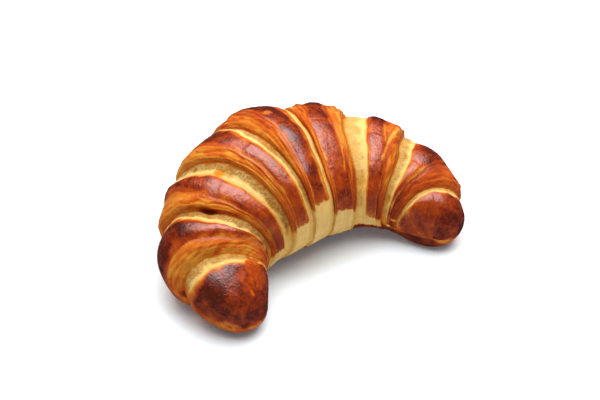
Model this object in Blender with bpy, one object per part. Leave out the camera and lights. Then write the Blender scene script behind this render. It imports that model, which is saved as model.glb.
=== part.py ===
"""A baked croissant: one solid, rolled dough bent into a crescent.

The crescent lies in the XY plane, with its horns at -X and +X and its open side towards -Y. It
rests on the plane z = 0, and the origin is the centre of its bounding box's underside.

The dough is a ball pulled out along a bent centre line. Each turn of the roll ends in a step
down to the next turn out, where the cut edge of the dough shows. The middle turn is the highest,
so the steps on its left go down to the left, and the steps on its right go down to the right.

A place on the roll is a share of the centre line's length, from 0 at the left horn's tip to 1 at
the right one's. An angle round the roll is 0 on the crescent's outer side, 90 degrees on the
crest and 180 degrees on the inner side.
"""

import math
from collections import namedtuple

import bmesh
import bpy

# Driving dimensions, in metres unless the name says otherwise.
LENGTH = 0.140  # over everything, along X
CENTRE_LINE = 0.1724  # along the middle of the roll, before the whole is scaled to LENGTH
HEADINGS_DEG = (134.5, 95.5, 46, 17.5, 1, -16, -40.5, -76, -132)  # at even places from tip to tip
HALF_WIDTHS = (0.0113, 0.0196, 0.0256, 0.0314, 0.0336, 0.0291, 0.0254, 0.0196, 0.0115)  # there too
HEIGHT_SHARE = 0.91  # the roll's height over its width
SEAT = 0.90  # the height of the roll's middle over the tray, as a share of its half height
ROUND_END = 0.010  # the length over which each horn closes

# The steps between one turn and the next turn out. foot is the place where the cut edge of the
# dough ends on the next turn out, on the crest. lean is how much further along the foot lies on
# the outer side, and bow how much further it lies on both sides. face is the width of the cut
# edge, and strip that of the dough beyond the foot that opened up in the oven. All of these are
# shares of the centre line. rise is the height of the step in metres.
Step = namedtuple("Step", "foot lean bow face strip rise")
STEPS_LEFT = (
    Step(0.117, 0.033, -0.012, 0.030, 0.034, 0.0042),
    Step(0.229, 0.017, -0.011, 0.024, 0.030, 0.0032),
    Step(0.339, -0.024, -0.008, 0.034, 0.040, 0.0025),
    Step(0.437, -0.036, -0.002, 0.036, 0.028, 0.0034),
    Step(0.565, -0.009, 0.001, 0.012, 0.024, 0.0017),
)
STEPS_RIGHT = (
    Step(0.680, -0.009, 0.015, 0.016, 0.064, 0.0031),
    Step(0.809, -0.019, 0.011, 0.030, 0.037, 0.0033),
    Step(0.919, -0.006, 0.012, 0.040, 0.022, 0.0035),
)
# How far each turn's crust swells between its edges, from the left horn to the right one.
SWELLS = (0.0006, 0.0009, 0.0009, 0.0002, 0.0009, 0.0013, 0.0014, 0.0009, 0.0012)
STRIP_DEPTH = 0.1  # how deep the opened dough starts, as a share of the rise
STRIP_WIDENING = 0.4  # how much wider it is on the inner side than on the crest, as a share
STEEPEST_DEG = 50  # the angle round the roll at which the steps are highest
PRESSED = 0.1  # the share of a step's rise that is left opposite that angle

# The mesh: points around the roll, and rings along each part of it.
RING_POINTS = 48
HORN_RINGS = 9
STRIP_RINGS = 2
FACE_RINGS = 2
CRUST_RINGS = 4
CENTRE_LINE_PIECES = 400

CRUST_COLOUR = (0.45, 0.16, 0.045, 1.0)
CRUST_ROUGHNESS = 0.42

# A line round the roll where its outline changes. height is in metres over the roll's own half
# width, and the stretch up to the next knot has that many rings and swells by swell in between.
Knot = namedtuple("Knot", "place lean bow height rings swell")
Ring = namedtuple("Ring", "place lean bow height")


def along(values, place):
    """A smooth curve through values at even places from 0 to 1, read at place."""
    last = len(values) - 1
    span = min(int(place * last), last - 1)
    t = place * last - span
    start, end = values[span], values[span + 1]
    slope_in = (end - values[span - 1]) / 2 if span > 0 else end - start
    slope_out = (values[span + 2] - start) / 2 if span + 2 <= last else end - start
    return (
        (2 * t**3 - 3 * t**2 + 1) * start
        + (t**3 - 2 * t**2 + t) * slope_in
        + (3 * t**2 - 2 * t**3) * end
        + (t**3 - t**2) * slope_out
    )


def centre_line():
    """Even points along the middle of the roll: x, y and the heading there in radians."""
    x = y = 0.0
    piece = CENTRE_LINE / CENTRE_LINE_PIECES
    points = []
    for i in range(CENTRE_LINE_PIECES + 1):
        heading = math.radians(along(HEADINGS_DEG, i / CENTRE_LINE_PIECES))
        points.append((x, y, heading))
        x += math.cos(heading) * piece
        y += math.sin(heading) * piece
    return points


def centre_at(points, place):
    """x, y and the heading of the centre line at place."""
    at = place * CENTRE_LINE_PIECES
    i = min(int(at), CENTRE_LINE_PIECES - 1)
    t = at - i
    return (a + (b - a) * t for a, b in zip(points[i], points[i + 1]))


def left_step(step, swell):
    """The knots of a step that goes down to the left: opened dough, foot, lip, then crust."""
    low, high = -step.rise / 2, step.rise / 2
    edge_lean = step.lean + step.strip * STRIP_WIDENING
    return [
        Knot(step.foot - step.strip, edge_lean, step.bow, low * STRIP_DEPTH, STRIP_RINGS, 0.0),
        Knot(step.foot, step.lean, step.bow, low, FACE_RINGS, 0.0),
        Knot(step.foot + step.face, step.lean, step.bow, high, CRUST_RINGS, swell),
    ]


def right_step(step, swell, crust_rings):
    """The knots of a step that goes down to the right: lip, foot, opened dough, then crust."""
    low, high = -step.rise / 2, step.rise / 2
    edge_lean = step.lean - step.strip * STRIP_WIDENING
    return [
        Knot(step.foot - step.face, step.lean, step.bow, high, FACE_RINGS, 0.0),
        Knot(step.foot, step.lean, step.bow, low, STRIP_RINGS, 0.0),
        Knot(step.foot + step.strip, edge_lean, step.bow, low * STRIP_DEPTH, crust_rings, swell),
    ]


def roll_knots():
    """Every knot from tip to tip."""
    knots = [Knot(0.0, 0.0, 0.0, 0.0, HORN_RINGS, SWELLS[0])]
    for step, swell in zip(STEPS_LEFT, SWELLS[1:]):
        knots += left_step(step, swell)
    for step, swell in zip(STEPS_RIGHT[:-1], SWELLS[len(STEPS_LEFT) + 1 :]):
        knots += right_step(step, swell, CRUST_RINGS)
    knots += right_step(STEPS_RIGHT[-1], SWELLS[-1], HORN_RINGS)
    knots.append(Knot(1.0, 0.0, 0.0, 0.0, 0, 0.0))
    return knots


def rings():
    """The roll's rings from tip to tip. They crowd towards the tips, where the roll closes."""
    found = []
    knots = roll_knots()
    for start, end in zip(knots, knots[1:]):
        for i in range(start.rings):
            even = i / start.rings
            t = even
            if start.place == 0.0:
                t = 1 - math.cos(even * math.pi / 2)
            elif end.place == 1.0:
                t = math.sin(even * math.pi / 2)
            place, lean, bow = (start[k] + (end[k] - start[k]) * t for k in range(3))
            height = start.height + (end.height - start.height) * even
            found.append(Ring(place, lean, bow, height + start.swell * math.sin(math.pi * even)))
    found.append(Ring(1.0, 0.0, 0.0, 0.0))
    return found


def closing(place):
    """The share of the roll's width that is left at place, as the horns round off."""
    inside = min(min(place, 1 - place) * CENTRE_LINE / ROUND_END, 1.0)
    return math.sqrt(1 - (1 - inside) ** 2)


def step_share(angle):
    """The share of a step's height that shows at angle: the roll was pressed flatter below."""
    turned = math.cos(angle - math.radians(STEEPEST_DEG))
    return PRESSED + (1 - PRESSED) * (0.5 + 0.5 * turned)


def skin_point(points, ring, angle):
    """The point of the roll's skin on a ring at angle."""
    side = math.cos(angle)
    place = ring.place + (ring.lean * side + ring.bow * side**2) * closing(ring.place)
    place = min(max(place, 0.0), 1.0)
    taper = (along(HALF_WIDTHS, ring.place) + along(HALF_WIDTHS, place)) / 2
    x, y, heading = centre_at(points, place)
    half_width = (taper + ring.height * step_share(angle)) * closing(place)
    out = half_width * side
    z = HEIGHT_SHARE * (taper * SEAT + half_width * math.sin(angle))
    return (x - math.sin(heading) * out, y + math.cos(heading) * out, max(z, 0.0))


def centred(bm):
    """Scales the mesh to LENGTH and puts the origin under the middle of its box."""
    low, high = ([pick(v.co[axis] for v in bm.verts) for axis in (0, 1)] for pick in (min, max))
    middle = [(a + b) / 2 for a, b in zip(low, high)]
    scale = LENGTH / (high[0] - low[0])
    bmesh.ops.translate(bm, vec=(-middle[0], -middle[1], 0.0), verts=bm.verts)
    bmesh.ops.scale(bm, vec=(scale, scale, scale), verts=bm.verts)


def croissant_mesh():
    """A ball whose rings are pulled out along the bent centre line."""
    points = centre_line()
    roll = rings()
    last = len(roll) - 1
    bm = bmesh.new()
    bmesh.ops.create_uvsphere(bm, u_segments=RING_POINTS, v_segments=last, radius=1)
    for vert in bm.verts:
        latitude = math.asin(max(-1.0, min(1.0, vert.co.z)))
        ring = roll[round((latitude / math.pi + 0.5) * last)]
        vert.co = skin_point(points, ring, math.atan2(vert.co.y, vert.co.x))
    centred(bm)
    mesh = bpy.data.meshes.new("croissant")
    bm.to_mesh(mesh)
    bm.free()
    mesh.shade_smooth()
    return mesh


def crust_material():
    material = bpy.data.materials.new("crust")
    material.use_nodes = True
    shader = material.node_tree.nodes["Principled BSDF"]
    shader.inputs["Base Color"].default_value = CRUST_COLOUR
    shader.inputs["Roughness"].default_value = CRUST_ROUGHNESS
    shader.inputs["Metallic"].default_value = 0.0
    material.diffuse_color = CRUST_COLOUR
    return material


def main():
    for obj in list(bpy.data.objects):
        bpy.data.objects.remove(obj)
    mesh = croissant_mesh()
    mesh.materials.append(crust_material())
    bpy.context.scene.collection.objects.link(bpy.data.objects.new("croissant", mesh))


main()
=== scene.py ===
"""The looks of a baked croissant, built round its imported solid.

The croissant is one mesh: a skin pulled round the bent roll, cut into zones by the lines where
one turn of the dough steps down to the next. A place on the roll is a share of its centre line,
from 0 at the left horn's tip to 1 at the right one's. An angle round the roll is 0 on the
crescent's outer side, 90 degrees on the crest and 180 degrees on the inner side.
"""

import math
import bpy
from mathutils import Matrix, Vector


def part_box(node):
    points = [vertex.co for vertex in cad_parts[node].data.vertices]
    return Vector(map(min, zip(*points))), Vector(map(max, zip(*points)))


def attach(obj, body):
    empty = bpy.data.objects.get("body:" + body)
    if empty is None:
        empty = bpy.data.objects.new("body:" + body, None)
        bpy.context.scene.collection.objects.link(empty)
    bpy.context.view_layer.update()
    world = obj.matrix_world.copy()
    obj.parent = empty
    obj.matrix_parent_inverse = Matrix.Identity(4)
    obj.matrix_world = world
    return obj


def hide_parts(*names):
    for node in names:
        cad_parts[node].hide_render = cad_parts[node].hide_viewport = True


bl_info = {
    "name": "Croissant",
    "version": (1, 0, 0),
    "blender": (4, 5, 0),
    "location": "View3D > Sidebar > Croissant",
    "description": "A baked croissant with stepped, laminated turns, in a plain studio",
    "category": "Add Mesh",
}

from collections import namedtuple

import bpy
import numpy as np
from bpy.props import FloatProperty, FloatVectorProperty, PointerProperty
from bpy.types import Operator, Panel, PropertyGroup
from mathutils import Vector, noise

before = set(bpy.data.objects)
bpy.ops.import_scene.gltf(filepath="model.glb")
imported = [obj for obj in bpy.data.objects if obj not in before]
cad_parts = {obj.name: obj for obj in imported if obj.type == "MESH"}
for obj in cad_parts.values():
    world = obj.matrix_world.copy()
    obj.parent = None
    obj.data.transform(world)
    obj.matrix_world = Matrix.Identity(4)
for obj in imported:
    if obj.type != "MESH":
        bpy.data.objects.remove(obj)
SOLID_LOW, SOLID_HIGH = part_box("croissant")

# The roll, in metres before it is scaled to the solid's length.
CENTRE_LINE = 0.1724
HEADINGS_DEG = (134.5, 95.5, 46, 17.5, 1, -16, -40.5, -76, -132)  # at even places from tip to tip
HALF_WIDTHS = (0.0109, 0.0196, 0.0256, 0.0314, 0.0336, 0.0291, 0.0254, 0.0196, 0.0115)  # there too
HEIGHT_SHARE = 0.91  # the roll's height over its width
SEAT = 0.90  # the height of the roll's middle over the tray, as a share of its half height
ROUND_END_LEFT = 0.011  # the length over which the left horn closes
ROUND_END_RIGHT = 0.008  # the same on the right one
STEEPEST_DEG = 50  # the angle round the roll at which the steps are highest
PRESSED = 0.1  # the share of a step's rise that is left opposite that angle

# A width that changes round the roll: on the outer side, on the crest and on the inner side.
Girth = namedtuple("Girth", "outer crest inner")

# The steps between one turn and the next turn out. foot is the place where the cut edge ends on
# the next turn out, on the crest. lean is how much further along it lies on the outer side, bow
# how much further on both sides, and sway how much further it swings halfway down the outer side
# and back halfway down the inner one. face is the cut edge's width and strip that of the dough
# beyond the foot that opened up in the oven, all as shares of the centre line. rise is the
# step's height and layers the number of dough layers that show in the face. face_bake says how
# brown the face is at the foot, torn how rough the opened dough is, cut how deep the crease at
# the foot is, sunk how low the opened dough starts beside the crust and low how brown it is at
# its end on the inner side, all from 0 to 1.
Step = namedtuple("Step", "foot lean bow sway rise layers face_bake torn cut sunk low face strip")
STEPS_LEFT = (
    Step(
        foot=0.1295, lean=0.042, bow=-0.030, sway=0.000, rise=0.0048, layers=4,
        face_bake=0.37, torn=0.6, cut=0.25, sunk=0.2, low=0.50,
        face=Girth(0.023, 0.024, 0.031), strip=Girth(0.020, 0.032, 0.020),
    ),
    Step(
        foot=0.233, lean=0.014, bow=-0.012, sway=0.000, rise=0.0034, layers=4,
        face_bake=0.34, torn=0.9, cut=0.9, sunk=0.15, low=0.34,
        face=Girth(0.036, 0.020, 0.010), strip=Girth(0.004, 0.035, 0.100),
    ),
    Step(
        foot=0.342, lean=-0.020, bow=0.000, sway=0.000, rise=0.0028, layers=4,
        face_bake=0.33, torn=1.0, cut=0.8, sunk=0.15, low=0.14,
        face=Girth(0.037, 0.027, 0.020), strip=Girth(0.024, 0.044, 0.054),
    ),
    Step(
        foot=0.440, lean=-0.030, bow=0.001, sway=0.000, rise=0.0036, layers=4,
        face_bake=0.40, torn=0.8, cut=0.8, sunk=0.15, low=0.10,
        face=Girth(0.054, 0.036, 0.008), strip=Girth(0.006, 0.025, 0.025),
    ),
    Step(
        foot=0.565, lean=-0.008, bow=0.000, sway=0.000, rise=0.0030, layers=2,
        face_bake=0.40, torn=0.2, cut=0.6, sunk=0.6, low=0.08,
        face=Girth(0.045, 0.014, 0.015), strip=Girth(0.015, 0.021, 0.021),
    ),
)
STEPS_RIGHT = (
    Step(
        foot=0.667, lean=-0.002, bow=0.028, sway=0.000, rise=0.0042, layers=3,
        face_bake=0.38, torn=0.4, cut=0.5, sunk=0.7, low=0.10,
        face=Girth(0.040, 0.028, 0.018), strip=Girth(0.040, 0.063, 0.062),
    ),
    Step(
        foot=0.8085, lean=-0.026, bow=0.012, sway=-0.008, rise=0.0035, layers=3,
        face_bake=0.42, torn=0.6, cut=0.7, sunk=0.5, low=0.42,
        face=Girth(0.030, 0.034, 0.022), strip=Girth(0.028, 0.037, 0.048),
    ),
    Step(
        foot=0.921, lean=-0.008, bow=0.013, sway=0.000, rise=0.0026, layers=4,
        face_bake=0.54, torn=0.6, cut=0.7, sunk=0.3, low=0.48,
        face=Girth(0.048, 0.034, 0.030), strip=Girth(0.016, 0.018, 0.018),
    ),
)

ALL_STEPS = STEPS_LEFT + STEPS_RIGHT

# The turns between the steps, from the left horn to the right one: how dark the oven made the
# crust and how much darker the outer side, the two angles between which it was brushed with egg,
# the angle beyond which it browned on the tray and is painted darker as shade under the roll, the
# width of the orange rim beside the opened dough and how far the crust swells between its edges in
# metres, and the mesh columns.
Turn = namedtuple("Turn", "bake outer_bake brushed_deg tray_deg rim swell columns")
TURNS = (
    Turn(0.79, 0.06, (-6, 204), 214, 0.0012, 0.0008, 28),
    Turn(0.65, 0.22, (-14, 186), 200, 0.0021, 0.0030, 20),
    Turn(0.66, 0.14, (-20, 184), 216, 0.0017, 0.0017, 20),
    Turn(0.68, 0.15, (-20, 171), 216, 0.0017, 0.0007, 20),
    Turn(0.80, 0.18, (-20, 159), 216, 0.0038, 0.0008, 24),
    Turn(0.70, 0.17, (-20, 172), 216, 0.0010, 0.0014, 26),
    Turn(0.68, 0.18, (-20, 184), 204, 0.0013, 0.0008, 20),
    Turn(0.68, 0.20, (-20, 190), 196, 0.0013, 0.0012, 16),
    Turn(0.64, 0.26, (-15, 193), 193, 0.0012, 0.0014, 28),
)
LIP_RIM = 0.0012  # width of the lighter rim at a turn's lip
PALE = 0.06  # browning of the unbrushed dough on the inner side
TRAY_BAKE_AND_SHADE = 0.80  # browning of the dough that lay on the tray or close to it, with painted shade under the roll near the floor
BACK = 0.50  # browning of the unbrushed dough low on the outer side
TRAY_BORDER_DEG = 1.5  # half the angle over which the tray's browning and painted shade set in
CREST_DEG = 90
STRIP_COLUMNS = 13
FACE_COLUMNS = 20

# Marks that the oven left: a place, an angle, how long and how broad in metres along and round
# the roll, and the browning there.
Mark = namedtuple("Mark", "place angle_deg length breadth browning")
MARKS = (
    Mark(0.031, 82, 0.0014, 0.0014, 0.44),
    Mark(0.050, -4, 0.0030, 0.0026, 0.36),
    Mark(0.055, 118, 0.0050, 0.0060, 0.62),
    Mark(0.312, 84, 0.0016, 0.0030, 0.40),
    Mark(0.492, 74, 0.0018, 0.0016, 0.36),
    Mark(0.648, 110, 0.0005, 0.0160, 0.32),
    Mark(0.767, 74, 0.0014, 0.0022, 0.40),
    Mark(0.786, 96, 0.0006, 0.0150, 0.20),
    Mark(0.798, 96, 0.0010, 0.0160, 0.66),
    Mark(0.930, 176, 0.0036, 0.0008, 0.14),
)
# Cracks under a lip: the step that each is at, its angle, how far it reaches round the roll and
# its depth.
Crack = namedtuple("Crack", "step angle_deg reach_deg depth")
CRACKS = (Crack(1, 83, 15, 0.0016), Crack(0, -6, 9, 0.0010))

# Angles of the mesh's rows: close together where the crust shows, far apart on the tray.
SHOWN_FROM_DEG = -42
SHOWN_TO_DEG = 222
SHOWN_ROWS = 184
TRAY_ROWS = 12

SWELLS_ROUND = 0.6  # how far the crust swells on the sides, as a share of that on the crest
SHOULDER = 0.45  # the share of a turn over which each edge of its swelling rises
FACE_CURVE = 2.3  # how much steeper a cut edge is at its foot than at its lip
TREAD = 0.45  # the share of a layer in a cut edge over which it steps up
LEAST_CREASE = 0.4  # the share of a crease's depth that is left low down
LEAST_WIDTH = 0.003  # of a strip or a face, as a share of the centre line
CENTRE_LINE_PIECES = 400

# Relief, in metres.
OVERHANG = 0.0011  # how far a cut edge leans out over its foot
WANDER = 0.0009  # how far the lines between the zones stray
BRUSHED_STEP = 0.0004  # how far the brushed crust stands out over the pale dough below it
BRUSHED_RAMP = 0.002  # the width over which it does so beside a strip or a face
STRIP_RIDGE = 0.0004  # height of the ridge along an opened strip's smooth edge

# The sizes of the noise: in metres, and for the two kinds that run round the roll, in metres
# along it and radians round it.
BROAD_SIZE = 0.013
MIDDLING_SIZE = 0.0045
SMALL_SIZE = 0.0018
BAND_SIZE = (0.0022, 0.9)
STREAK_SIZE = (0.0009, 0.35)

# The angles between which a change round the roll sets in.
OUTER_DEG = (50, 100)  # the darker outer side of the brushed crust
STRIP_SIDE_DEG = (125, 150)  # the browner inner side of the strips
FACE_SIDE_DEG = (120, 150)  # the same on the faces
STRIP_OUTER_DEG = (0, 28)  # the browner outer side of the strips
FACE_OUTER_DEG = (-5, 30)  # the same on the faces
END_DEG = 12  # how far from its ends the brushed crust starts to change
STRIP_END_DEG = (-22, -6)  # an opened strip's inner end, from the end of the brushed crust
FACE_END_DEG = (1, 7)  # the pale inner end of a face, from there too

# Where a part across a strip or a face starts and stops changing, as a share of its width.
RIM_FALL = (0.25, 1.3)  # of a rim's width
STRIP_EDGE_FALL = (0.0, 0.10)
STRIP_FOOT_RISE = (0.84, 1.0)
TORN_RISE = (0.25, 0.5)
LIP_RISE = (0.8, 1.0)

# How far noise frays a border or changes the browning, from the broadest lumps to the smallest.
RIM_FRAY = (0.35, 0.35, 0.25)  # middling lumps, bands and streaks, as shares of the rim's width
END_FRAY_DEG = (1.1, 0.8, 0.6)  # bands, middling lumps and streaks
MOTTLE = (0.08, 0.09, 0.06, 0.05)  # broad, middling and small lumps and streaks
BACK_MOTTLE = (0.10, 0.07, 0.08)  # broad lumps, bands and streaks
PALE_MOTTLE = (0.04, 0.03)  # bands and middling lumps
TRAY_MOTTLE = (0.12, 0.08)  # broad lumps and bands
FACE_MOTTLE = (0.07, 0.09)  # bands and streaks
LAYER_FRAY = (0.5, 0.4)  # bands and middling lumps, as shares of a layer
LAYER_DRIFT = 0.9  # how far the layers rise and sink round the roll, as a share of a layer
LAYER_DRIFT_TURNS = 1.6  # how often they do so, in radians of drift for each radian round

# Browning, from 0 for cream to 1 for burnt, and painted shade where a name says SHADE. The ones
# named MORE are added to what is there.
RIM_BAKE = 0.42  # a turn's rims and the ends of its brushed crust
END_SHARE = 0.7  # how much of that shows at those ends
STRIP_BAKE = 0.03  # opened dough beside the crust
STRIP_SHADE_MORE = 0.06  # painted shade on the opened dough towards the foot
TORN_MORE = 0.04  # torn dough
HOLES_SHADE_MORE = 0.14  # painted shade in the holes of torn dough
STRIP_EDGE_MORE = 0.24  # the line where the opened dough leaves the crust
STRIP_CREASE_SHADE_MORE = 0.34  # painted shade in the crease at the foot
STRIP_OUTER_BAKE = 0.50  # opened dough low on the outer side
SIDE_MORE = 0.12  # strips and faces low on the inner side
FACE_MORE = 0.17  # a cut edge towards its lip
FLAKE_MORE = 0.09  # the loose edges of its layers
FACE_CREASE_SHADE_MORE = 0.16  # painted shade in its crease at the foot
FACE_OUTER_MORE = 0.12  # a cut edge low on the outer side
CRACK_SHADE = 0.86  # painted shade at the bottom of a crack
MARK_STRENGTH = 0.85  # how much of a mark's browning shows at its middle

RIM_MATT = 0.6  # how much of the egg the rims of a turn lack
RIM_LAYERED = 0.25  # how much the layers of the dough show in the rims
BACK_LAYERED = 0.3  # the same for the unbrushed dough low on the outer side

# The crust's fine pattern: how many lumps to a metre, for two of them along the roll and round it.
SPECKLE_SCALE = 950.0
BLOTCH_SCALE = 260.0
WRINKLE_SCALE = (520.0, 1000.0)
FIBRE_SCALE = (1500.0, 110.0)
SPECKLE_SHARE = 0.12  # how much speckles change the browning
SPECKLE_BRUSHED = 0.20  # how much more they do where egg was brushed on
BLOTCH_SHARE = 0.24
FIBRE_SHARE = 0.10
FIBRE_LAYERED = 0.36  # how much more fibres do in the cut layers
WRINKLE_BRUSHED = 0.34
BUMP_STRENGTH = 0.8
BUMP_DISTANCE = 0.0006
DOUGH_SHINE = 0.12
GLAZE_SHINE = 0.66

# The stage: its sizes and places are in metres, and the sensor's width is in millimetres.
STAGE_SIZE = 3.0
FLOOR_GLOW = 0.10  # keeps the floor white round the croissant's soft shadow
SENSOR_WIDTH = 36.0
LOOKED_AT = (0.0122, 0.0183, 0.0)  # the point that the camera looks at
SOFTBOX_AT = (0.14, 0.17, 0.98)
WIDE_SOFTBOX_AT = (0.20, 0.22, 1.25)
FLOOR_ROUGHNESS = 0.9
FLOOR_SHINE = 0.1


def along(values, place):
    """A smooth curve through values at even places from 0 to 1, read at every place."""
    values = np.asarray(values, float)
    last = len(values) - 1
    span = np.minimum((place * last).astype(int), last - 1)
    t = place * last - span
    slopes = np.gradient(values)
    return (
        (2 * t**3 - 3 * t**2 + 1) * values[span]
        + (t**3 - 2 * t**2 + t) * slopes[span]
        + (3 * t**2 - 2 * t**3) * values[span + 1]
        + (t**3 - t**2) * slopes[span + 1]
    )


def ease(low, high, value):
    """0 below low, 1 above high and a smooth rise in between."""
    t = np.clip((value - low) / (high - low), 0.0, 1.0)
    return t * t * (3 - 2 * t)


def bell(middle, width, value):
    """1 at middle, falling off smoothly to about 0 a width away on each side."""
    return np.exp(-(((value - middle) / width) ** 2) * 2)


def blended(shares, *fields):
    """The sum of the fields, each times its share."""
    return sum(share * field for share, field in zip(shares, fields))


def noise_field(points, size, seed):
    """Smooth noise from -1 to 1 at every point of an array, with lumps of about size."""
    shift = Vector((seed * 17.3, seed * -9.1, seed * 4.7))
    flat = points.reshape(-1, 3) / size
    found = np.fromiter((noise.noise(Vector(p) + shift) for p in flat), float, len(flat))
    return np.clip(found * 1.6, -1.0, 1.0).reshape(points.shape[:-1])


def girth_at(girth, side):
    """A Girth's width at each angle, from the angle's cosine."""
    outer, inner = np.maximum(side, 0), np.maximum(-side, 0)
    width = girth.outer * outer + girth.inner * inner + girth.crest * (1 - outer - inner)
    return np.maximum(width, LEAST_WIDTH)


def row_angles():
    """The angle of each row of the mesh, from just above the tray round to the tray again."""
    shown = np.linspace(SHOWN_FROM_DEG, SHOWN_TO_DEG, SHOWN_ROWS)
    tray = np.linspace(SHOWN_TO_DEG, SHOWN_FROM_DEG + 360, TRAY_ROWS + 2)[1:-1]
    return np.radians(np.concatenate([shown, tray]))


def closing(place):
    """The share of the roll's width that is left at place, as the horns round off."""
    left = place * CENTRE_LINE / ROUND_END_LEFT
    right = (1 - place) * CENTRE_LINE / ROUND_END_RIGHT
    inside = np.clip(np.minimum(left, right), 0, 1)
    return np.sqrt(1 - (1 - inside) ** 2)


def step_share(angles):
    """The share of a step's height that shows at each angle."""
    turned = np.cos(angles - math.radians(STEEPEST_DEG))
    return PRESSED + (1 - PRESSED) * (0.5 + 0.5 * turned)


# One stretch of skin between two lines round the roll, start and end. kind is crust, strip or
# face, and index counts the turns or the steps. t is how far across a point lies: in a strip it
# goes from the crust to the foot, and in a face from the foot to the lip. flipped says that this
# is from end to start. low and high are the heights of the skin where t is 0 and where it is 1.
Zone = namedtuple("Zone", "kind index start end columns flipped low high")


def strayed(side, angles, seed):
    """How far a line round the roll strays along it at each angle, as a share of its length."""
    slow = np.sin(2.3 * angles + seed * 1.7) + 0.5 * np.sin(5.1 * angles + seed * 2.9)
    quick = 0.22 * np.sin(13.0 * angles + seed * 4.1) + 0.10 * np.sin(29.0 * angles + seed * 0.7)
    return (slow + quick) * 0.5 * WANDER / CENTRE_LINE


def step_zones(index, step, side, angles, out):
    """The strip and the face of a step, in order along the roll, and the crust's two edges."""
    line = step.foot + step.lean * side + step.bow * side**2 + step.sway * side * (1 - side**2)
    line = line + strayed(side, angles, index)
    edge = line + out * girth_at(step.strip, side) + strayed(side, angles, index + 20)
    lip = line - out * girth_at(step.face, side) + strayed(side, angles, index + 40)
    foot_height, lip_height = -step.rise / 2, step.rise / 2
    if out < 0:
        strip = Zone("strip", index, edge, line, STRIP_COLUMNS, False, 0.0, foot_height)
        face = Zone("face", index, line, lip, FACE_COLUMNS, False, foot_height, lip_height)
        return [strip, face], edge, lip
    face = Zone("face", index, lip, line, FACE_COLUMNS, True, foot_height, lip_height)
    strip = Zone("strip", index, line, edge, STRIP_COLUMNS, True, 0.0, foot_height)
    return [face, strip], lip, edge


def roll_zones(angles):
    """Every zone from tip to tip, for rows at these angles."""
    side = np.cos(angles)
    steps = [(step, -1) for step in STEPS_LEFT] + [(step, 1) for step in STEPS_RIGHT]
    zones = []
    start, start_height = np.zeros_like(side), 0.0
    for index, (step, out) in enumerate(steps):
        parts, end, after = step_zones(index, step, side, angles, out)
        end_height = 0.0 if out < 0 else step.rise / 2
        columns = TURNS[index].columns
        zones.append(Zone("crust", index, start, end, columns, False, start_height, end_height))
        zones += parts
        start, start_height = after, step.rise / 2 if out < 0 else 0.0
    last = len(TURNS) - 1
    end = np.ones_like(side)
    zones.append(Zone("crust", last, start, end, TURNS[last].columns, False, start_height, 0.0))
    return zones


class Skin:
    """The grid of points that the croissant's skin is made of: columns along, rows around."""

    def __init__(self, angles):
        self.angles = angles
        self.degrees = np.degrees(angles)
        self.side = np.cos(angles)
        self.share = step_share(angles)
        self.lay_columns()
        self.lay_centre_line()

    def lay_columns(self):
        """Where every column crosses every row, with the zone it is in and how far across."""
        crest = np.full(1, math.pi / 2)
        self.zones = roll_zones(np.concatenate([crest, self.angles]))
        place, self.t, self.zone_of = [], [], []
        last = len(self.zones) - 1
        for number, zone in enumerate(self.zones):
            for i in range(zone.columns + (number == last)):
                t = i / zone.columns
                if number == 0:
                    t = 1 - math.cos(t * math.pi / 2)
                elif number == last:
                    t = math.sin(t * math.pi / 2)
                place.append(zone.start + (zone.end - zone.start) * t)
                self.t.append(t)
                self.zone_of.append(number)
        place = np.clip(place, 0, 1)
        self.crest_place, self.place = place[:, :1], place[:, 1:]
        self.t, self.zone_of = np.array(self.t), np.array(self.zone_of)

    def lay_centre_line(self):
        """The middle of the roll, as x, y and heading at even places."""
        self.even = np.linspace(0, 1, CENTRE_LINE_PIECES + 1)
        self.heading = np.radians(along(HEADINGS_DEG, self.even))
        piece = CENTRE_LINE / CENTRE_LINE_PIECES
        self.x = np.concatenate([[0], np.cumsum(np.cos(self.heading))[:-1]]) * piece
        self.y = np.concatenate([[0], np.cumsum(np.sin(self.heading))[:-1]]) * piece

    def points(self, height, shift):
        """The skin's points, out by height from the bare roll and moved by shift along it."""
        moved = np.clip(self.place + shift / CENTRE_LINE, 0, 1)
        x = np.interp(moved, self.even, self.x)
        y = np.interp(moved, self.even, self.y)
        heading = np.interp(moved, self.even, self.heading)
        taper = (along(HALF_WIDTHS, self.place) + along(HALF_WIDTHS, self.crest_place)) / 2
        half_width = (taper + height) * closing(self.place)
        out = half_width * self.side
        z = HEIGHT_SHARE * (taper * SEAT + half_width * np.sin(self.angles))
        return np.stack([x - np.sin(heading) * out, y + np.cos(heading) * out, z], -1)

    def columns_of(self, number):
        """The columns of a zone, and t and the width across it in metres at each point."""
        zone = self.zones[number]
        columns = np.nonzero(self.zone_of == number)[0]
        t = self.t[columns][:, None] + 0 * self.side
        width = (zone.end - zone.start)[1:] * CENTRE_LINE + 0 * t
        return columns, (1 - t if zone.flipped else t), width


def stairs(across, layers, wander):
    """A rise from 0 to 1 in that many steps, whose edges wander by that much of a step."""
    steep = 1 - (1 - across) ** FACE_CURVE
    up = np.clip(steep * layers + wander * np.sin(np.pi * across), 0, layers - 1e-6)
    whole = np.floor(up)
    return (whole + ease(0.0, TREAD, up - whole)) / layers, up - whole


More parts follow.
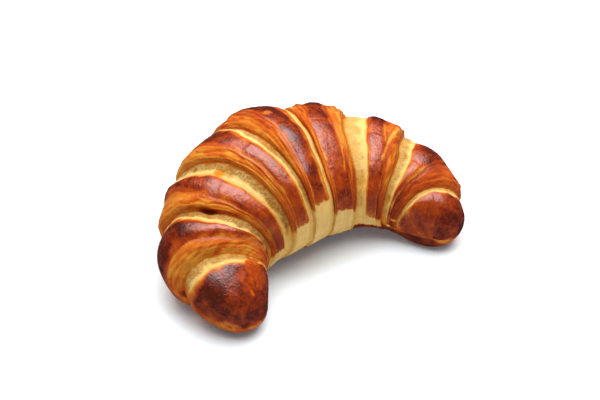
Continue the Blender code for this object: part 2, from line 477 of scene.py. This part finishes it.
class Crust:
    """Works out the relief and the browning of every point of the skin, with the shade painted into
    creases, cracks, holes and the underside.
    """

    def __init__(self, skin, relief):
        self.skin, self.relief = skin, relief
        self.bare = skin.points(0.0, 0.0)
        shape = self.bare.shape[:-1]
        self.height, self.shift = np.zeros(shape), np.zeros(shape)
        self.browning, self.brushed = np.zeros(shape), np.zeros(shape)
        self.torn, self.layered = np.zeros(shape), np.zeros(shape)
        self.broad = noise_field(self.bare, BROAD_SIZE, 1)
        self.middling = noise_field(self.bare, MIDDLING_SIZE, 2)
        self.small = noise_field(self.bare, SMALL_SIZE, 3)
        self.bands = self.band_noise(*BAND_SIZE, 4)
        self.streaks = self.band_noise(*STREAK_SIZE, 5)
        self.crease_share = np.maximum(skin.share, LEAST_CREASE)
        bake = {"crust": self.bake_crust, "strip": self.bake_strip, "face": self.bake_face}
        for number, zone in enumerate(skin.zones):
            bake[zone.kind](number, zone)
        self.leave_marks()
        self.height += relief.lumps * self.broad + relief.blisters * self.small * self.brushed

    def band_noise(self, along_size, round_size, seed):
        """Noise in lumps of so many metres along the roll and so many radians round it."""
        skin = self.skin
        points = np.empty(self.bare.shape)
        points[..., 0] = skin.place * CENTRE_LINE / along_size
        points[..., 1] = np.cos(skin.angles) / round_size
        points[..., 2] = np.sin(skin.angles) / round_size
        return noise_field(points, 1.0, seed)

    def swelling(self, index, t):
        """The shape of a turn's swelling: full, with round shoulders at its edges, not at a tip."""
        first = 0 if index == 0 else 1
        last = 0 if index == len(TURNS) - 1 else 1
        start = 1 - first * (1 - np.minimum(t / SHOULDER, 1)) ** 2
        end = 1 - last * (1 - np.minimum((1 - t) / SHOULDER, 1)) ** 2
        return start * end

    def tray_and_shade(self, turn, fray_deg):
        """The share of a turn's browning that comes from the tray and from shade painted under the
        roll, with a frayed border.
        """
        degrees = self.skin.degrees + fray_deg
        return ease(turn.tray_deg - TRAY_BORDER_DEG, turn.tray_deg + TRAY_BORDER_DEG, degrees)

    def bake_crust(self, number, zone):
        """The outside of a turn: domed, dark where it was brushed with egg, lighter at its rims."""
        columns, t, width = self.skin.columns_of(number)
        turn = TURNS[zone.index]
        degrees = self.skin.degrees
        broad, middling, small = self.broad[columns], self.middling[columns], self.small[columns]
        bands, streaks = self.bands[columns], self.streaks[columns]
        slope = zone.low + (zone.high - zone.low) * t
        upward = SWELLS_ROUND + (1 - SWELLS_ROUND) * np.maximum(np.sin(self.skin.angles), 0)
        dome = turn.swell * self.swelling(zone.index, t) * upward
        self.height[columns] = (slope + dome) * self.skin.share

        width = np.abs(width)
        to_start = t * width if zone.index > 0 else 1.0
        to_end = (1 - t) * width if zone.index < len(TURNS) - 1 else 1.0
        start_rim = turn.rim if zone.index > len(STEPS_LEFT) else LIP_RIM
        end_rim = turn.rim if zone.index < len(STEPS_LEFT) else LIP_RIM
        ragged = blended(RIM_FRAY, middling, bands, streaks)
        rim = np.maximum(
            1 - ease(*RIM_FALL, to_start / start_rim + ragged),
            1 - ease(*RIM_FALL, to_end / end_rim + ragged),
        )

        brushed_from, brushed_to = turn.brushed_deg
        fray = blended(END_FRAY_DEG, bands, middling, streaks)
        below = ease(brushed_to - 0.5, brushed_to + 1.0, degrees + fray)
        fading = ease(brushed_to - END_DEG, brushed_to, degrees + 2 * fray)
        behind = 1 - ease(brushed_from - END_DEG, brushed_from + END_DEG, degrees + 5 * fray)
        tray_and_shade = self.tray_and_shade(turn, 2 * fray)

        outer = turn.outer_bake * (1 - ease(*OUTER_DEG, degrees))
        baked = turn.bake + blended(MOTTLE, broad, middling, small, streaks) + outer
        baked = baked - (turn.bake - RIM_BAKE) * np.maximum(rim, END_SHARE * fading)
        pale = PALE + blended(PALE_MOTTLE, bands, middling)
        back = BACK + blended(BACK_MOTTLE, broad, bands, streaks)
        baked += (pale - baked) * below
        # Browning from the tray, and painted shade on the underside near the floor.
        baked += (TRAY_BAKE_AND_SHADE + blended(TRAY_MOTTLE, broad, bands) - baked) * tray_and_shade
        self.browning[columns] = baked + (back - baked) * behind
        self.brushed[columns] = (1 - below) * (1 - behind) * (1 - RIM_MATT * rim)
        self.layered[columns] = RIM_LAYERED * rim + BACK_LAYERED * behind

        ramp = ease(0.0, BRUSHED_RAMP, np.minimum(to_start, to_end))
        self.height[columns] += BRUSHED_STEP * (1 - below) * (degrees > CREST_DEG) * ramp

    def bake_strip(self, number, zone):
        """Dough that opened in the oven: a pale smooth edge, then torn crumb down to the foot, with
        painted shade towards the foot.
        """
        columns, t, _ = self.skin.columns_of(number)
        step = ALL_STEPS[zone.index]
        degrees = self.skin.degrees
        middling, small = self.middling[columns], self.small[columns]
        bands, streaks = self.bands[columns], self.streaks[columns]
        start = step.sunk * ease(*STRIP_EDGE_FALL, t)
        deep = zone.high * (start + (1 - start) * t**1.3)
        ridge = STRIP_RIDGE * bell(0.14, 0.12, t)
        crease = step.cut * self.relief.creases * bell(1.0, 0.25, t)
        self.height[columns] = (deep + ridge) * self.skin.share
        self.height[columns] -= crease * self.crease_share
        torn = step.torn * ease(*TORN_RISE, t + 0.15 * middling + 0.05 * streaks)
        holes = ease(0.1, 0.6, middling + 0.6 * small)
        self.height[columns] += self.relief.crumb * torn * (0.5 * small - holes) * (1 - t**4)

        edge = 1 - ease(*STRIP_EDGE_FALL, t + 0.03 * streaks)
        # Painted shade: the opened dough darkens towards the foot, most of all in the crease there.
        shade = STRIP_BAKE + 0.03 * bands + STRIP_SHADE_MORE * t
        # Torn dough is browner, with painted shade in its holes.
        shade += torn * (TORN_MORE + HOLES_SHADE_MORE * holes + 0.05 * small)
        foot = ease(*STRIP_FOOT_RISE, t + 0.05 * bands)
        shade += STRIP_EDGE_MORE * edge + STRIP_CREASE_SHADE_MORE * foot
        shade += SIDE_MORE * ease(*STRIP_SIDE_DEG, degrees)
        outer = 1 - ease(*STRIP_OUTER_DEG, degrees + 5 * bands)
        shade += (STRIP_OUTER_BAKE - shade) * outer
        turn = TURNS[zone.index + (1 if zone.flipped else 0)]
        past_brushed = degrees - turn.brushed_deg[1]
        inner = ease(*STRIP_END_DEG, past_brushed + 6 * bands)
        shade += (step.low + 0.05 * bands - shade) * 0.8 * inner
        tray_and_shade = self.tray_and_shade(turn, 2 * bands)
        self.browning[columns] = shade + (TRAY_BAKE_AND_SHADE - shade) * tray_and_shade
        self.torn[columns] = torn * (1 - inner) * (1 - outer)
        self.open_cracks(columns, zone, 1 - t)

    def bake_face(self, number, zone):
        """A turn's cut edge: layers of dough that step up from the foot to the lip."""
        columns, t, _ = self.skin.columns_of(number)
        step = ALL_STEPS[zone.index]
        degrees = self.skin.degrees
        bands, streaks, middling = self.bands[columns], self.streaks[columns], self.middling[columns]
        drift = LAYER_DRIFT * np.sin(LAYER_DRIFT_TURNS * self.skin.angles + zone.index)
        wander = blended(LAYER_FRAY, bands, middling) + drift
        rise, within = stairs(t, step.layers, wander)
        crease = step.cut * self.relief.creases * bell(0.0, 0.15, t)
        self.height[columns] = (zone.low + (zone.high - zone.low) * rise) * self.skin.share
        self.height[columns] -= crease * self.crease_share
        self.height[columns] += self.relief.flakes * bell(0.45, 0.25, within) * (0.6 + bands)
        out = 1 if zone.flipped else -1
        self.shift[columns] = out * step.cut * OVERHANG * bell(0.28, 0.26, t) * self.skin.share

        turn = TURNS[zone.index + (0 if zone.flipped else 1)]
        past_brushed = degrees - turn.brushed_deg[1]
        shade = step.face_bake + FACE_MORE * t + FLAKE_MORE * (bell(0.05, 0.3, within) - 0.4)
        shade += blended(FACE_MOTTLE, bands, streaks)
        # Painted shade in the crease at the face's foot, darker where the crease is cut deeper.
        shade += FACE_CREASE_SHADE_MORE * step.cut * bell(0.0, 0.12, t)
        shade += (turn.bake - 0.55) * ease(*LIP_RISE, t)
        shade += SIDE_MORE * ease(*FACE_SIDE_DEG, degrees)
        pale = ease(*FACE_END_DEG, past_brushed + 2 * bands)
        shade += (PALE + 0.06 + 0.06 * bands - shade) * pale
        shade += FACE_OUTER_MORE * (1 - ease(*FACE_OUTER_DEG, degrees))
        tray_and_shade = self.tray_and_shade(turn, 2 * bands)
        self.browning[columns] = shade + (TRAY_BAKE_AND_SHADE - shade) * tray_and_shade
        self.brushed[columns] = 0.6 * ease(0.6, 1.0, t) * (1 - pale)
        self.layered[columns] = np.sin(np.pi * t) ** 0.5 * (1 - 0.6 * pale)
        self.open_cracks(columns, zone, t)

    def open_cracks(self, columns, zone, from_foot):
        """Opens any crack of this step: deep beside the foot, with painted shade in it."""
        for crack in CRACKS:
            if crack.step == zone.index:
                open_here = bell(crack.angle_deg, crack.reach_deg, self.skin.degrees)
                open_here = open_here * bell(0.0, 0.35, from_foot)
                self.height[columns] -= crack.depth * open_here
                # Painted shade in the crack.
                missing = CRACK_SHADE - self.browning[columns]
                self.browning[columns] += missing * ease(0.1, 0.7, open_here)

    def leave_marks(self):
        """Browns or spares the small patches that are listed as marks."""
        for mark in MARKS:
            far_along = (self.skin.place - mark.place) * CENTRE_LINE / mark.length
            radius = along(HALF_WIDTHS, np.full(1, mark.place))[0]
            turned = (self.skin.degrees - mark.angle_deg) * math.pi / 180
            far_round = turned * radius / mark.breadth
            far = np.hypot(far_along, far_round) + 0.5 * self.middling + 0.3 * self.small
            share = 1 - ease(0.5, 1.3, far)
            self.browning += (mark.browning - self.browning) * MARK_STRENGTH * share


def fit_to_solid(points):
    """Scales the points to the solid's length and stands them in its box, on the tray."""
    low, high = points.reshape(-1, 3).min(0), points.reshape(-1, 3).max(0)
    scale = (SOLID_HIGH.x - SOLID_LOW.x) / (high[0] - low[0])
    middle = np.array([(low[0] + high[0]) / 2, (low[1] + high[1]) / 2, 0])
    target = np.array([(SOLID_LOW.x + SOLID_HIGH.x) / 2, (SOLID_LOW.y + SOLID_HIGH.y) / 2, 0])
    points = (points - middle) * scale + target
    points[..., 2] = np.maximum(points[..., 2], SOLID_LOW.z)
    return points


def skin_faces(columns, rows):
    """Quads between neighbouring columns, and fans at the tips. The tips are the last points."""
    faces = []
    left_tip, right_tip = (columns - 2) * rows, (columns - 2) * rows + 1
    for j in range(rows):
        k = (j + 1) % rows
        faces.append((left_tip, k, j))
        for i in range(columns - 3):
            faces.append((i * rows + j, i * rows + k, (i + 1) * rows + k, (i + 1) * rows + j))
        last = (columns - 3) * rows
        faces.append((right_tip, last + j, last + k))
    return faces


def per_point(values):
    """Grid values as one row per point of the mesh: the inner columns, then the two tips."""
    inner = values[1:-1].reshape(-1, *values.shape[2:])
    return np.concatenate([inner, values[:1, 0], values[-1:, 0]])


def croissant_object(relief):
    """The croissant's skin as one mesh object, with its browning and painted shade and so on as
    attributes.
    """
    skin = Skin(row_angles())
    crust = Crust(skin, relief)
    points = fit_to_solid(skin.points(crust.height, crust.shift))
    columns, rows = skin.place.shape
    mesh = bpy.data.meshes.new("croissant_crust")
    mesh.from_pydata(per_point(points).tolist(), [], skin_faces(columns, rows))
    for name in ("browning", "brushed", "torn", "layered"):
        layer = mesh.attributes.new(name, "FLOAT", "POINT")
        layer.data.foreach_set("value", per_point(getattr(crust, name)).astype(np.float32))
    radius = along(HALF_WIDTHS, skin.place)
    grain = np.stack([skin.place * CENTRE_LINE, skin.angles * radius, 0 * skin.place], -1)
    layer = mesh.attributes.new("grain", "FLOAT_VECTOR", "POINT")
    layer.data.foreach_set("vector", per_point(grain).astype(np.float32).ravel())
    mesh.update()
    mesh.shade_smooth()
    piece = bpy.data.objects.new("croissant_crust", mesh)
    bpy.context.scene.collection.objects.link(piece)
    return piece


class Value:
    """A shader socket that can be used in Python expressions, which add their Math nodes."""

    def __init__(self, nodes, socket):
        self.nodes, self.socket = nodes, socket

    def math(self, operation, first, second):
        """The result of one Math node."""
        return self.nodes.add("ShaderNodeMath", {"operation": operation}, {0: first, 1: second})

    def __add__(self, other):
        return self.math("ADD", self, other)

    def __radd__(self, other):
        return self.math("ADD", other, self)

    def __sub__(self, other):
        return self.math("SUBTRACT", self, other)

    def __rsub__(self, other):
        return self.math("SUBTRACT", other, self)

    def __mul__(self, other):
        return self.math("MULTIPLY", self, other)

    def __rmul__(self, other):
        return self.math("MULTIPLY", other, self)


class Nodes:
    """Adds nodes to a material or a world, beside the shader that it starts with."""

    def __init__(self, owner, shader):
        owner.use_nodes = True
        self.tree = owner.node_tree
        self.shader = self.tree.nodes[shader]

    def add(self, kind, settings=None, inputs=None, output=0):
        """A node with its settings made first, then its inputs. Returns one of its outputs."""
        node = self.tree.nodes.new(kind)
        for name, setting in (settings or {}).items():
            if name == "stops":
                self.set_stops(node.color_ramp, setting)
            else:
                setattr(node, name, setting)
        self.feed(node, inputs or {})
        return Value(self, node.outputs[output])

    def feed(self, node, inputs):
        """Links or sets the node's inputs."""
        for name, value in inputs.items():
            if isinstance(value, Value):
                self.tree.links.new(value.socket, node.inputs[name])
            else:
                node.inputs[name].default_value = value

    def set_stops(self, ramp, stops):
        """Gives a colour ramp these stops."""
        while len(ramp.elements) < len(stops):
            ramp.elements.new(0.5)
        for element, (position, colour) in zip(ramp.elements, stops):
            element.position = position
            element.color = (*colour, 1.0)

    def attribute(self, name, output="Fac"):
        """What the mesh says under that name."""
        return self.add("ShaderNodeAttribute", {"attribute_name": name}, output=output)

    def noise(self, vector, scale):
        """Fine noise from 0 to 1 in lumps of about 1 / scale."""
        inputs = {"Vector": vector, "Scale": scale, "Detail": 3.0, "Roughness": 0.6}
        return self.add("ShaderNodeTexNoise", {}, inputs)

    def grain_noise(self, grain, scale):
        """Fine noise along the grain of the dough, with its own scale along and round the roll."""
        inputs = {0: grain, 1: (*scale, 1.0)}
        stretched = self.add("ShaderNodeVectorMath", {"operation": "MULTIPLY"}, inputs)
        return self.noise(stretched, 1.0)

    def bump(self, height):
        """A Normal for relief of that height."""
        inputs = {"Height": height, "Strength": BUMP_STRENGTH, "Distance": BUMP_DISTANCE}
        return self.add("ShaderNodeBump", {}, inputs)

    def blend(self, share, first, second):
        """Gives the material two finishes, the second one with that share."""
        self.feed(self.shader, first)
        base = Value(self, self.shader.outputs[0])
        top = self.add("ShaderNodeBsdfPrincipled", {}, second)
        mixed = self.add("ShaderNodeMixShader", {}, {0: share, 1: base, 2: top})
        self.feed(self.tree.nodes["Material Output"], {"Surface": mixed})

    def mix(self, share, first, second):
        """The first colour, with that share of the second one."""
        settings = {"data_type": "RGBA", "clamp_factor": True}
        inputs = {0: share, 6: first, 7: (*second, 1.0)}
        return self.add("ShaderNodeMix", settings, inputs, output=2)


def linear(red, green, blue):
    """A colour given in 0 to 255 as on a screen, in the shader's own linear units."""
    return tuple(((part / 255 + 0.055) / 1.055) ** 2.4 for part in (red, green, blue))


def crust_material(look):
    """Baked dough: its browning, the shade painted into it and its finish follow the attributes of
    the mesh.
    """
    material = bpy.data.materials.new("baked_crust")
    nodes = Nodes(material, "Principled BSDF")
    place = nodes.add("ShaderNodeTexCoord", output="Object")
    grain = nodes.attribute("grain", "Vector")
    browning = nodes.attribute("browning")
    brushed = nodes.attribute("brushed")
    torn = nodes.attribute("torn")
    layered = nodes.attribute("layered")
    speckle = nodes.noise(place, SPECKLE_SCALE)
    blotch = nodes.noise(place, BLOTCH_SCALE)
    wrinkle = nodes.grain_noise(grain, WRINKLE_SCALE)
    fibre = nodes.grain_noise(grain, FIBRE_SCALE)
    level = browning + (speckle - 0.5) * (SPECKLE_SHARE + SPECKLE_BRUSHED * brushed)
    level = level + (blotch - 0.5) * BLOTCH_SHARE
    level = level + (fibre - 0.5) * (FIBRE_SHARE + FIBRE_LAYERED * layered)
    level = level + (wrinkle - 0.5) * WRINKLE_BRUSHED * brushed
    stops = [
        (0.00, look.cream),
        (0.15, look.straw),
        (0.30, look.gold),
        (0.45, look.orange),
        (0.60, look.russet),
        (0.76, look.brown),
        (0.90, look.dark),
        (1.00, look.burnt),
    ]
    baked = nodes.add("ShaderNodeValToRGB", {"stops": stops}, {"Fac": level})
    # The crumb colour: the torn dough's own colour, partly painted shade towards the strip's foot.
    crumb = nodes.mix(torn * (0.40 + 1.4 * (speckle - 0.3)), baked, look.crumb)
    pebbles = 0.24 * speckle + 0.34 * wrinkle
    layers = 0.6 * speckle + 0.4 * blotch + 0.8 * fibre * layered + 1.4 * speckle * torn
    dough = {
        "Base Color": crumb,
        "Roughness": look.dough_roughness + 0.2 * (blotch - 0.5),
        "Specular IOR Level": DOUGH_SHINE,
        "Normal": nodes.bump(layers),
    }
    glaze = {
        "Base Color": baked,
        "Roughness": look.glaze_roughness + 0.3 * (blotch - 0.5),
        "Specular IOR Level": GLAZE_SHINE,
        "Normal": nodes.bump(pebbles + 0.3 * layers),
    }
    nodes.blend(brushed, dough, glaze)
    return material


class CrustLook(PropertyGroup):
    """The colours that the crust goes through as it bakes, and how glossy it is."""

    cream: FloatVectorProperty(
        name="Cream",
        description="Dough that opened up last",
        subtype="COLOR",
        default=linear(227, 187, 116),
        min=0,
        max=1,
    )
    # The torn dough's colour, which also stands in for painted shade deep in the opened strips.
    crumb: FloatVectorProperty(
        name="Crumb",
        description="Torn dough deep in the opened strips",
        subtype="COLOR",
        default=linear(124, 83, 36),
        min=0,
        max=1,
    )
    straw: FloatVectorProperty(
        name="Straw",
        description="Pale dough on the inner side",
        subtype="COLOR",
        default=linear(216, 166, 84),
        min=0,
        max=1,
    )
    gold: FloatVectorProperty(
        name="Gold",
        description="Lightly baked layers",
        subtype="COLOR",
        default=linear(204, 131, 40),
        min=0,
        max=1,
    )
    orange: FloatVectorProperty(
        name="Orange",
        description="Baked layers and the rims of the turns",
        subtype="COLOR",
        default=linear(188, 92, 18),
        min=0,
        max=1,
    )
    russet: FloatVectorProperty(
        name="Russet",
        description="Crust brushed with egg",
        subtype="COLOR",
        default=linear(168, 64, 12),
        min=0,
        max=1,
    )
    brown: FloatVectorProperty(
        name="Brown",
        description="Crust brushed with egg, well baked",
        subtype="COLOR",
        default=linear(138, 46, 8),
        min=0,
        max=1,
    )
    dark: FloatVectorProperty(
        name="Dark",
        description="The darkest patches of the crust",
        subtype="COLOR",
        default=linear(94, 27, 10),
        min=0,
        max=1,
    )
    burnt: FloatVectorProperty(
        name="Burnt",
        description="Spots that almost burnt",
        subtype="COLOR",
        default=linear(72, 24, 15),
        min=0,
        max=1,
    )
    dough_roughness: FloatProperty(
        name="Dough roughness",
        description="How matt the dough is where no egg was brushed on it",
        subtype="FACTOR",
        default=0.80,
        min=0,
        max=1,
    )
    glaze_roughness: FloatProperty(
        name="Glaze roughness",
        description="How matt the crust is where it was brushed with egg",
        subtype="FACTOR",
        default=0.22,
        min=0,
        max=1,
    )


class CrustRelief(PropertyGroup):
    """The heights and depths of what stands out on the crust."""

    lumps: FloatProperty(
        name="Lumps",
        description="Height of the crust's broad lumps",
        subtype="DISTANCE",
        unit="LENGTH",
        default=0.0006,
        precision=6,
        min=0,
    )
    blisters: FloatProperty(
        name="Blisters",
        description="Height of the brushed crust's small blisters",
        subtype="DISTANCE",
        unit="LENGTH",
        default=0.00008,
        precision=6,
        min=0,
    )
    creases: FloatProperty(
        name="Creases",
        description="Depth of the crease at the foot of a step",
        subtype="DISTANCE",
        unit="LENGTH",
        default=0.0009,
        precision=6,
        min=0,
    )
    crumb: FloatProperty(
        name="Crumb",
        description="Depth of the holes in torn dough",
        subtype="DISTANCE",
        unit="LENGTH",
        default=0.0005,
        precision=6,
        min=0,
    )
    flakes: FloatProperty(
        name="Flakes",
        description="Height of the loose edges of the layers",
        subtype="DISTANCE",
        unit="LENGTH",
        default=0.00025,
        precision=6,
        min=0,
    )


class Studio(PropertyGroup):
    """The light and the camera round the croissant."""

    azimuth: FloatProperty(
        name="Azimuth",
        description="Camera's turn round the croissant from straight in front",
        subtype="ANGLE",
        default=math.radians(-29.4),
    )
    elevation: FloatProperty(
        name="Elevation",
        description="Camera's height over the croissant, as an angle",
        subtype="ANGLE",
        default=math.radians(44.45),
    )
    distance: FloatProperty(
        name="Distance",
        description="From the camera to the point it looks at",
        unit="LENGTH",
        default=0.7906,
    )
    lens: FloatProperty(
        name="Lens",
        description="Focal length of the camera in millimetres",
        default=104.04,
    )
    softbox_power: FloatProperty(
        name="Softbox power",
        description="Power of the light overhead",
        unit="POWER",
        default=20.0,
    )
    wide_power: FloatProperty(
        name="Wide softbox power",
        description="Power of the larger and dimmer light above the first one",
        unit="POWER",
        default=16.0,
    )
    softbox_size: FloatProperty(
        name="Softbox size",
        description="Side of the light overhead",
        unit="LENGTH",
        default=1.15,
    )
    wide_size: FloatProperty(
        name="Wide softbox size",
        description="Side of the larger and dimmer light above the first one",
        unit="LENGTH",
        default=2.4,
    )
    surround: FloatProperty(
        name="Surround",
        description="Strength of the white surroundings",
        default=0.045,
    )
    floor_colour: FloatVectorProperty(
        name="Floor colour",
        description="A little cool, so that the croissant's own colour doesn't tint its shadow",
        subtype="COLOR",
        default=(0.82, 0.89, 0.92),
        min=0,
        max=1,
    )


def add_floor(studio):
    """A plain floor under the croissant."""
    bpy.ops.mesh.primitive_plane_add(size=STAGE_SIZE, location=(0, 0, SOLID_LOW.z))
    floor = bpy.context.object
    floor.name = "floor"
    material = bpy.data.materials.new("white_floor")
    nodes = Nodes(material, "Principled BSDF")
    colour = (*studio.floor_colour, 1.0)
    inputs = {
        "Base Color": colour,
        "Roughness": FLOOR_ROUGHNESS,
        "Specular IOR Level": FLOOR_SHINE,
        "Emission Color": colour,
        "Emission Strength": FLOOR_GLOW,
    }
    nodes.feed(nodes.shader, inputs)
    floor.data.materials.append(material)
    floor.visible_glossy = False  # so that the crust's rims mirror the dark studio


def add_softbox(name, location, size, power):
    """A square light that faces the croissant."""
    light = bpy.data.lights.new(name, "AREA")
    light.shape = "SQUARE"
    light.size = size
    light.energy = power
    lamp = bpy.data.objects.new(name, light)
    lamp.location = location
    lamp.rotation_euler = (-Vector(location)).to_track_quat("-Z", "Y").to_euler()
    bpy.context.scene.collection.objects.link(lamp)


def add_surroundings(strength):
    """White where the camera sees past the floor, and dim as a light, as in a dark studio."""
    world = bpy.data.worlds.new("studio_surroundings")
    nodes = Nodes(world, "Background")
    seen = nodes.add("ShaderNodeLightPath", output="Is Camera Ray")
    brightness = strength + seen * (1 - strength)
    nodes.feed(nodes.shader, {"Color": (1.0, 1.0, 1.0, 1.0), "Strength": brightness})
    bpy.context.scene.world = world


def camera_direction(studio):
    """The way the camera looks."""
    level = math.cos(studio.elevation)
    return Vector(
        (
            -math.sin(studio.azimuth) * level,
            math.cos(studio.azimuth) * level,
            -math.sin(studio.elevation),
        )
    )


def add_camera(studio):
    """The camera that shows the whole croissant."""
    data = bpy.data.cameras.new("camera")
    data.lens = studio.lens
    data.sensor_width = SENSOR_WIDTH
    camera = bpy.data.objects.new("camera", data)
    looks = camera_direction(studio)
    camera.location = Vector(LOOKED_AT) - looks * studio.distance
    camera.rotation_euler = looks.to_track_quat("-Z", "Y").to_euler()
    bpy.context.scene.collection.objects.link(camera)
    bpy.context.scene.camera = camera


class CROISSANT_OT_croissant(Operator):
    """Builds the croissant's crust in place of the plain solid"""

    bl_idname = "croissant.croissant"
    bl_label = "Croissant"

    def execute(self, context):
        """Adds the croissant under the root body and hides the plain solid in its place."""
        piece = croissant_object(context.scene.crust_relief)
        piece.data.materials.append(crust_material(context.scene.crust_look))
        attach(piece, "root")
        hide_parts("croissant")
        return {"FINISHED"}


class CROISSANT_OT_stage(Operator):
    """Sets up the floor, the light and the camera"""

    bl_idname = "croissant.stage"
    bl_label = "Stage"

    def execute(self, context):
        """Adds everything round the croissant."""
        studio = context.scene.croissant_studio
        add_floor(studio)
        add_surroundings(studio.surround)
        add_softbox("softbox_overhead", SOFTBOX_AT, studio.softbox_size, studio.softbox_power)
        add_softbox("softbox_wide", WIDE_SOFTBOX_AT, studio.wide_size, studio.wide_power)
        add_camera(studio)
        context.scene.view_settings.view_transform = "Standard"
        return {"FINISHED"}


class CROISSANT_PT_panel(Panel):
    """Lists the croissant's operators"""

    bl_idname = "CROISSANT_PT_panel"
    bl_label = "Croissant"
    bl_space_type = "VIEW_3D"
    bl_region_type = "UI"
    bl_category = "Croissant"

    def draw(self, context):
        """Draws one button for each operator."""
        for operator in OPERATORS:
            self.layout.operator(operator.bl_idname)


OPERATORS = (CROISSANT_OT_croissant, CROISSANT_OT_stage)
CLASSES = (CrustLook, CrustRelief, Studio, *OPERATORS, CROISSANT_PT_panel)


def register():
    """Makes the classes and the scene's settings known."""
    for item in CLASSES:
        bpy.utils.register_class(item)
    bpy.types.Scene.crust_look = PointerProperty(type=CrustLook)
    bpy.types.Scene.crust_relief = PointerProperty(type=CrustRelief)
    bpy.types.Scene.croissant_studio = PointerProperty(type=Studio)


def unregister():
    """Undoes what register did."""
    del bpy.types.Scene.croissant_studio
    del bpy.types.Scene.crust_relief
    del bpy.types.Scene.crust_look
    for item in reversed(CLASSES):
        bpy.utils.unregister_class(item)


def main():
    """Builds everything."""
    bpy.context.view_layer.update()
    register()
    bpy.ops.croissant.croissant()
    bpy.ops.croissant.stage()


if __name__ == "__main__":
    main()
